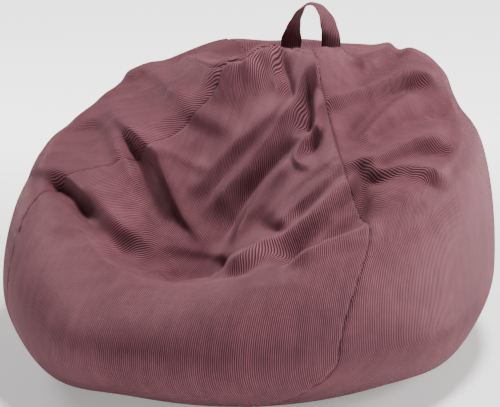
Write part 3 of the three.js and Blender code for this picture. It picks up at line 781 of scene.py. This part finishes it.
metal_finish.set(base_color=metal_finish.blend(metal_wear, (0.42, 0.42, 0.44), (0.66, 0.66, 0.68)),
                 roughness=0.22 + metal_wear * 0.22,
                 normal=metal_finish.bump(metal_wear, 0.0001))
STOP = 4 * MM / ZIP_R
STOP_GAP = 0.3 * MM / ZIP_R
SLIDER_LONG = 20


def along_zip(name, start, end, corners, finish, count=60, body="bag"):
    """A bar that follows the zip, from its corners in millimetres: height and side."""
    angles = np.linspace(start, end, count)
    rings = np.stack([zip_point(angles, h * MM, w * MM) for h, w in corners], 1)
    return tube_piece(name, rings, finish, body)


def rounded_bar(low, high, near, far, r):
    turns = np.linspace(0, np.pi / 2, 4)
    corners = []
    for ch, cw, start in ((high - r, far - r, 0), (low + r, far - r, 1), (low + r, near + r, 2),
                          (high - r, near + r, 3)):
        for t in turns + start * np.pi / 2:
            corners.append((ch + r * math.cos(t), cw + r * math.sin(t)))
    return corners


def zip_coil(name, low, high, near, far, wire, finish):
    start, end = zip_ends[0] + STOP + 2 * STOP_GAP, zip_ends[1] - STOP - 2 * STOP_GAP
    turns = int((end - start) * ZIP_R / (1.5 * MM))
    t = np.linspace(0, turns * 2 * np.pi, turns * 10)
    sign = 1 if near > 0 else -1
    height = (low + high) / 2 + ((high - low) / 2 - wire) * np.sin(t)
    side = (near + far) / 2 + sign * (abs(far - near) / 2 - wire) * np.cos(t)
    angle = start + (end - start) * (0.004 + 0.992 * t / t[-1])
    path = zip_point(angle, height * MM, side * MM)
    way = np.gradient(path, axis=0)
    way /= np.linalg.norm(way, axis=1, keepdims=True)
    first = np.cross(way, zip_side)
    first /= np.linalg.norm(first, axis=1, keepdims=True)
    second = np.cross(way, first)
    rings = np.stack([path + wire * MM * (first * math.cos(a) + second * math.sin(a))
                      for a in np.linspace(0, 2 * np.pi, 6, endpoint=False)], 1)
    return tube_piece(name, rings, finish)


def slab(outline, low, high, edge):
    """Rings of a plate with rounded edges, from its outline in millimetres."""
    outline = np.array(outline, float)
    middle = outline.mean(0)
    size = abs(outline - middle).max(0)
    rings = []
    for inset, z in ((edge, low), (edge * 0.3, low + edge * 0.3), (0, low + edge),
                     (0, high - edge), (edge * 0.3, high - edge * 0.3), (edge, high)):
        ring = middle + (outline - middle) * (1 - inset / size)
        rings.append(np.column_stack([ring, np.full(len(ring), z)]))
    return np.array(rings)


def on_slider(points):
    """From the slider's own millimetres (across, towards the top, outwards) to the frame."""
    angle = zip_ends[1] - (4 + 1.2 + SLIDER_LONG / 2) * MM / ZIP_R
    outward = zip_out * math.cos(angle) + np.array([0, 0, math.sin(angle)])
    upward = np.cross(outward, zip_side)
    return zip_point(angle, 0, 0) + MM * (points[..., :1] * zip_side + points[..., 1:2] * upward
                                          + points[..., 2:] * outward)


def joined_piece(name, parts, finish, body):
    verts, faces, start = [], [], 0
    for rings in parts:
        faces += tube_mesh(rings, start)
        verts.append(on_slider(rings).reshape(-1, 3))
        start += len(verts[-1])
    piece = new_piece(name, np.concatenate(verts), faces, finish, body)
    turn_outward(piece)
    mark = piece.modifiers.new("edges", "WEIGHTED_NORMAL")
    mark.keep_sharp = True
    return piece


def shield(length, front, back):
    t = np.linspace(0, 2 * np.pi, 48, endpoint=False)
    y = length / 2 * np.sign(np.sin(t)) * abs(np.sin(t)) ** 0.6
    half = front + (back - front) * (0.5 - y / length)
    return np.column_stack([half * np.sign(np.cos(t)) * abs(np.cos(t)) ** 0.5, y])


def slider_piece(name, node, plates, body):
    low_top, high_top, high_under, low_under = plates
    wedge = shield(SLIDER_LONG - 3, 0.28, 0.28)
    piece = joined_piece(name, [slab(shield(SLIDER_LONG, 5.5, 4.6), low_top, high_top, 0.3),
                                slab(shield(SLIDER_LONG, 5.5, 4.6), low_under, high_under, 0.3),
                                slab(wedge, high_under - 0.2, low_top + 0.2, 0.05)],
                         metal_finish, body)
    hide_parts(node)


for name, sign in (("left", 1), ("right", -1)):
    tape = along_zip("zip_tape_%s_cloth" % name, *zip_ends,
                     [(-3.5, sign * 3.2), (-2.9, sign * 3.2), (-3.05, sign * 8),
                      (-3.4, sign * 14), (-4.0, sign * 14), (-3.65, sign * 8)], tape_finish, 90)
    coil = zip_coil("zip_coil_%s_nylon" % name, -3.5, -0.9, sign * 0.6, sign * 2.9, 0.32,
                    coil_finish)
    stop = along_zip("zip_top_stop_%s_metal" % name, zip_ends[1] - STOP, zip_ends[1] - STOP_GAP,
                     [(h, sign * w) for h, w in rounded_bar(-3.5, -0.5, 0.6, 2.9, 0.6)],
                     metal_finish, 8)
    for piece, node, slot in ((tape, "zip_tape_" + name, "zip_tape"),
                              (coil, "zip_coil_" + name, "zip_coil"),
                              (stop, "zip_top_stop_" + name, "zip_metal")):
        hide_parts(node)
low_stop = along_zip("zip_bottom_stop_metal", zip_ends[0] + STOP_GAP, zip_ends[0] + STOP,
                     rounded_bar(-3.5, -0.5, -2.9, 2.9, 0.6), metal_finish, 8)
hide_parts("zip_bottom_stop")
slider_piece("zip_slider_metal", "zip_slider", (0.5, 1.7, -4.4, -5.4), "cover_slider")

BAR_HIGH, BAR_HALF, BAR_R = 4.2, 3.0, 0.6
corner = np.linspace(0, np.pi / 2, 6)
arch = ([(-BAR_HALF, 1.75)] + [(-BAR_HALF + 0.9 * (1 - math.cos(t)), 3.3 + 0.9 * math.sin(t))
                               for t in corner]
        + [(BAR_HALF - 0.9 * (1 - math.cos(t)), 3.3 + 0.9 * math.sin(t)) for t in corner[::-1]]
        + [(BAR_HALF, 1.75)])
arch = np.array([(x, 0, z) for x, z in arch])
way = np.gradient(arch, axis=0)
way /= np.linalg.norm(way, axis=1, keepdims=True)
other = np.cross(way, [0, 1.0, 0])
bridge_rings = np.stack([arch + BAR_R * (other * math.cos(a) + np.array([0, 1, 0]) * math.sin(a))
                         for a in np.linspace(0, 2 * np.pi, 12, endpoint=False)], 1)
bridge = joined_piece("zip_bridge_metal", [bridge_rings], metal_finish, "cover_slider")
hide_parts("zip_bridge")

ring_turn = np.linspace(0, 2 * np.pi, 33)
eye_rings = np.array([[(x, -r * math.cos(a), BAR_HIGH + r * math.sin(a))
                       for x, r in ((-1.8, 1.2), (-1.8, 1.8), (-1.6, 1.9), (1.6, 1.9), (1.8, 1.8),
                                    (1.8, 1.2), (1.6, 1.1), (-1.6, 1.1))] for a in ring_turn])
tab = np.array([(1.5, -1.7), (1.1, -4), (1.3, -8), (1.9, -16), (2.0, -22), (1.9, -25),
                (1.4, -26.5), (0.6, -27)])
tab = np.concatenate([tab, (tab * [-1, 1])[::-1]])
pull = joined_piece("zip_pull_metal", [eye_rings, slab(tab, BAR_HIGH - 0.6, BAR_HIGH + 0.6, 0.25)],
                    metal_finish, "pull")
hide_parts("zip_pull")


# Liner zip ----------------------------------------------------------------------------------
# A lighter white zip in the liner, right under the cover's, with a slider that has no pull,
# so that a child can't open it by hand.
liner_tape_finish = Finish("white_zip", roughness=0.7)
white_weave = liner_tape_finish.node("TexWave", {"wave_type": "BANDS",
                                                 "bands_direction": "DIAGONAL"},
                                     {"Vector": liner_tape_finish.node("TexCoord", out="Object"),
                                      "Scale": 700.0}, "Fac")
liner_tape_finish.set(base_color=liner_tape_finish.blend(white_weave, (0.66, 0.65, 0.62),
                                                         (0.80, 0.79, 0.76)),
                      normal=liner_tape_finish.bump(white_weave, 0.0003))
for name, sign in (("left", 1), ("right", -1)):
    tape = along_zip("liner_zip_tape_%s_cloth" % name, *zip_ends,
                     [(-10.2, sign * 2.9), (-9.6, sign * 2.9), (-9.85, sign * 11),
                      (-10.45, sign * 11)], liner_tape_finish, 60)
    coil = zip_coil("liner_zip_coil_%s_nylon" % name, -10.2, -8.0, sign * 0.6, sign * 2.6, 0.28,
                    liner_tape_finish)
    for piece, node in ((tape, "liner_zip_tape_" + name), (coil, "liner_zip_coil_" + name)):
        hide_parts(node)
slider_piece("liner_zip_slider_metal", "liner_zip_slider", (-7.4, -6.5, -11.5, -12.3),
             "inner_slider")


# Care label and stitching -------------------------------------------------------------------
# A blank white satin label is caught in the rear-right seam. The cap's seam and both sides of
# the zip are top-stitched in thick plum thread.
label_finish = Finish("white_satin", roughness=0.45, sheen_weight=0.2)
satin = label_finish.node("TexWave", {"wave_type": "BANDS"},
                          {"Vector": label_finish.node("TexCoord", out="Object"),
                           "Scale": 600.0}, "Fac")
label_finish.set(base_color=label_finish.blend(satin, (0.80, 0.80, 0.78), (0.88, 0.88, 0.86)),
                 normal=label_finish.bump(satin, 0.0002))
LABEL_ROWS, LABEL_LONG = (1.65, 1.7292), 0.040
label_v = np.linspace(*LABEL_ROWS, 14)[:, None]
label_s = np.linspace(0, LABEL_LONG, 22)[None, :]
u_step = np.linalg.norm(surface(2, 1.69) - surface(1.99, 1.69)) / 0.01
u = 2 - (label_s + 0.0008) / u_step + 0 * label_v
v = label_v + 0 * label_s
lift = 0.0009 + 0.0012 * (label_s / LABEL_LONG) ** 2 + 0 * label_v
lie, out = surface(u, v) + fold_shift(u, v), facing(u, v)
label = shell_piece("care_label_cloth", lie + out * (lift + 0.0005)[..., None],
                    lie + out * lift[..., None], label_finish)
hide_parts("care_label")

thread_finish = Finish("plum_thread", roughness=0.5)
twist = thread_finish.node("TexWave", {"wave_type": "BANDS", "bands_direction": "DIAGONAL"},
                           {"Vector": thread_finish.node("TexCoord", out="Object"),
                            "Scale": 900.0}, "Fac")
thread_finish.set(base_color=thread_finish.blend(twist, (0.06, 0.020, 0.026),
                                                 (0.16, 0.062, 0.074)))
STITCH, STITCH_GAP, THREAD = 0.0034, 0.0012, 0.00038


def stitch_piece(name, lines):
    """A row of short stitches along each line of points."""
    verts, faces = [], []
    for line, out in lines:
        lengths = np.linalg.norm(np.diff(line, axis=0), axis=1)
        run = np.concatenate([[0], np.cumsum(lengths)])
        for start in np.arange(0.002, run[-1] - STITCH, STITCH + STITCH_GAP):
            spots = start + STITCH * np.linspace(0, 1, 5)
            path = np.stack([np.interp(spots, run, line[:, k]) for k in range(3)], 1)
            up = np.array([np.interp(start, run, out[:, k]) for k in range(3)])
            arch = np.sin(np.linspace(0.15, np.pi - 0.15, 5))[:, None]
            path = path + up * 0.0005 * arch
            way = (path[-1] - path[0]) / np.linalg.norm(path[-1] - path[0])
            beside = np.cross(way, up)
            rings = np.stack([path + THREAD * (0.45 + 0.55 * arch)
                              * (up * math.cos(a) + beside * math.sin(a))
                              for a in np.linspace(0, 2 * np.pi, 6, endpoint=False)], 1)
            faces += tube_mesh(rings, sum(len(some) for some in verts))
            verts.append(rings.reshape(-1, 3))
    piece = new_piece(name, np.concatenate(verts), faces, thread_finish)
    turn_outward(piece)
    return piece


round_u = np.linspace(0, 4, 240)[None, :]
cap_lines = []
for row in (3.990, 3.975):
    u, v = round_u, np.full_like(round_u, row)
    out = facing(u, v)
    cap_lines.append(((surface(u, v) + fold_shift(u, v) + out * 0.0002)[0], out[0]))
stitch_piece("cap_stitching", cap_lines)
zip_lines = []
for side in (-8.5, 8.5):
    v = np.linspace(ZIP_FROM - 0.01, ZIP_TO + 0.01, 120)
    out = facing(3 + 0 * v, v)
    beside = np.linalg.norm(surface(3.01, v) - surface(2.99, v), axis=-1) / 0.02
    u = 3 + side * MM / beside
    zip_lines.append((surface(u, v) + fold_shift(u[None, :], v[None, :])[0] + out * 0.0002, out))
stitch_piece("zip_stitching", zip_lines)
